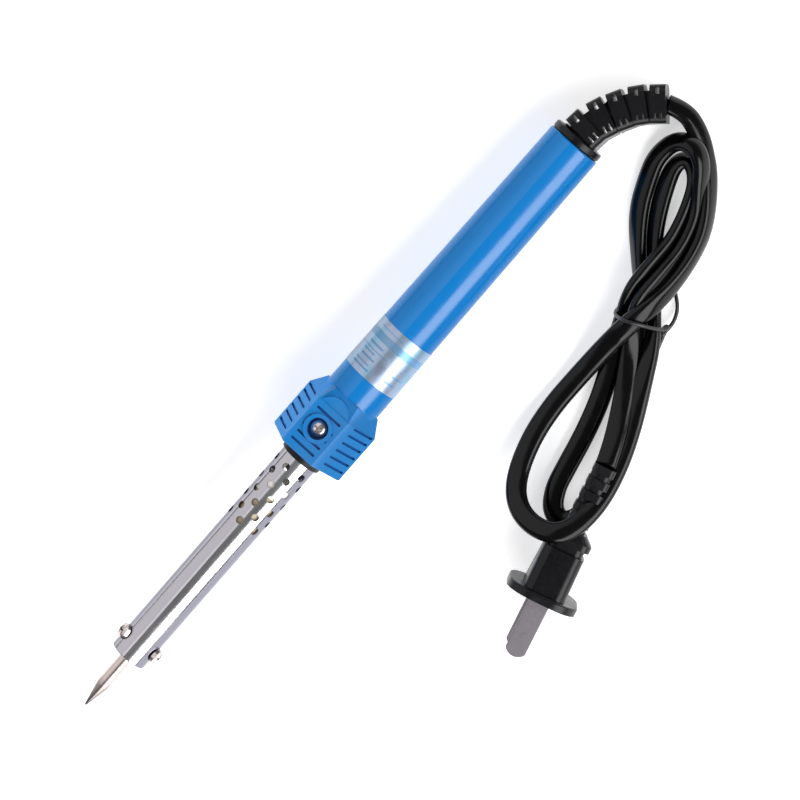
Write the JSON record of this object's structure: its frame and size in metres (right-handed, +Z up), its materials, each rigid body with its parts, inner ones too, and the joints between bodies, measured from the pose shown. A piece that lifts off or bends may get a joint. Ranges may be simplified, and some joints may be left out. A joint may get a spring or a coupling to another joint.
{
  "type": "soldering iron",
  "caption": "Mains soldering iron: pointed tip clamped in a vented metal barrel, grooved block on a tapered handle, ribbed strain relief, and a tied hank of cord with a two-blade plug.",
  "frame": {"origin": "on the table, under the middle of the iron's length from tip point to handle end, centred on its width; the cord and plug are left out of the measure", "axes": "+X along the iron from the tip towards the handle, +Z up from the table, +Y away from the side on which the cord lies"},
  "size_m": [0.2565, 0.1061, 0.0263],
  "materials": {
    "plated_copper": "dulled plating over copper, brown-grey at the point",
    "chromed_steel": "bright plated tube",
    "plated_screw": "bright plated screw",
    "steel": "plain steel",
    "heater_ceramic": "unglazed ceramic",
    "mica": "mica sheet",
    "glass_fibre": "woven glass sleeve",
    "dark_resin": "dark moulded insulator",
    "blue_plastic": "glossy moulded plastic",
    "foil_label": "silver foil sticker",
    "white_plastic": "moulded plastic",
    "brass_fittings": "turned brass",
    "brass_blades": "dull dark plating",
    "black_boot": "satin moulded vinyl",
    "black_cord": "glossy flexible vinyl",
    "black_tie": "plastic-covered wire"
  },
  "bodies": {
    "iron": {"barrel_tube": "chromed_steel", "front_bush": "steel", "heater_core": "heater_ceramic", "heating_winding": "steel", "mica_wrap": "mica", "rear_insulator": "heater_ceramic", "heater_lead_a": "steel", "heater_lead_b": "steel", "lead_sleeve_a": "glass_fibre", "lead_sleeve_b": "glass_fibre", "clamp_ring": "steel", "insulating_collar": "dark_resin", "handle_shell": "blue_plastic", "rating_label": "foil_label", "terminal_block": "white_plastic", "terminal_screws": "brass_fittings", "cord_core_a": "black_cord", "cord_core_b": "black_cord", "cord_tail": "black_cord", "cord_clip": "white_plastic", "strain_relief": "black_boot", "mains_cord": "black_cord", "plug_body": "black_boot", "plug_relief": "black_boot", "plug_blade_a": "brass_blades", "plug_blade_b": "brass_blades", "cord_hank": "black_cord", "twist_tie": "black_tie"},
    "tip": {"tip_bit": "plated_copper"},
    "screw_left": {"tip_screw_left": "plated_screw"},
    "screw_right": {"tip_screw_right": "plated_screw"},
    "screw_under": {"tip_screw_under": "plated_screw"},
    "block_screw": {"handle_screw": "plated_screw"}
  },
  "joints": [
    {"name": "tip_slide", "type": "slide", "parent": "iron", "child": "tip", "axis": [-0.9993, 0, 0.0387], "range_m": [-0.008, 0.043]},
    {"name": "screw_left_turn", "type": "hinge", "parent": "iron", "child": "screw_left", "pos_m": [-0.08674, 0, 0.01633], "axis": [0.0236, 0.7934, 0.6083], "range_deg": [0, 1080]},
    {"name": "screw_right_turn", "type": "hinge", "parent": "iron", "child": "screw_right", "pos_m": [-0.08674, 0, 0.01633], "axis": [0.0034, -0.9962, 0.0871], "range_deg": [0, 1080]},
    {"name": "screw_under_turn", "type": "hinge", "parent": "iron", "child": "screw_under", "pos_m": [-0.08674, 0, 0.01633], "axis": [-0.0384, 0.1305, -0.9907], "range_deg": [0, 1080]},
    {"name": "block_screw_turn", "type": "hinge", "parent": "iron", "child": "block_screw", "pos_m": [0.0001, 0, 0.01297], "axis": [0.0387, 0, 0.9993], "range_deg": [0, 1800]}
  ]
}
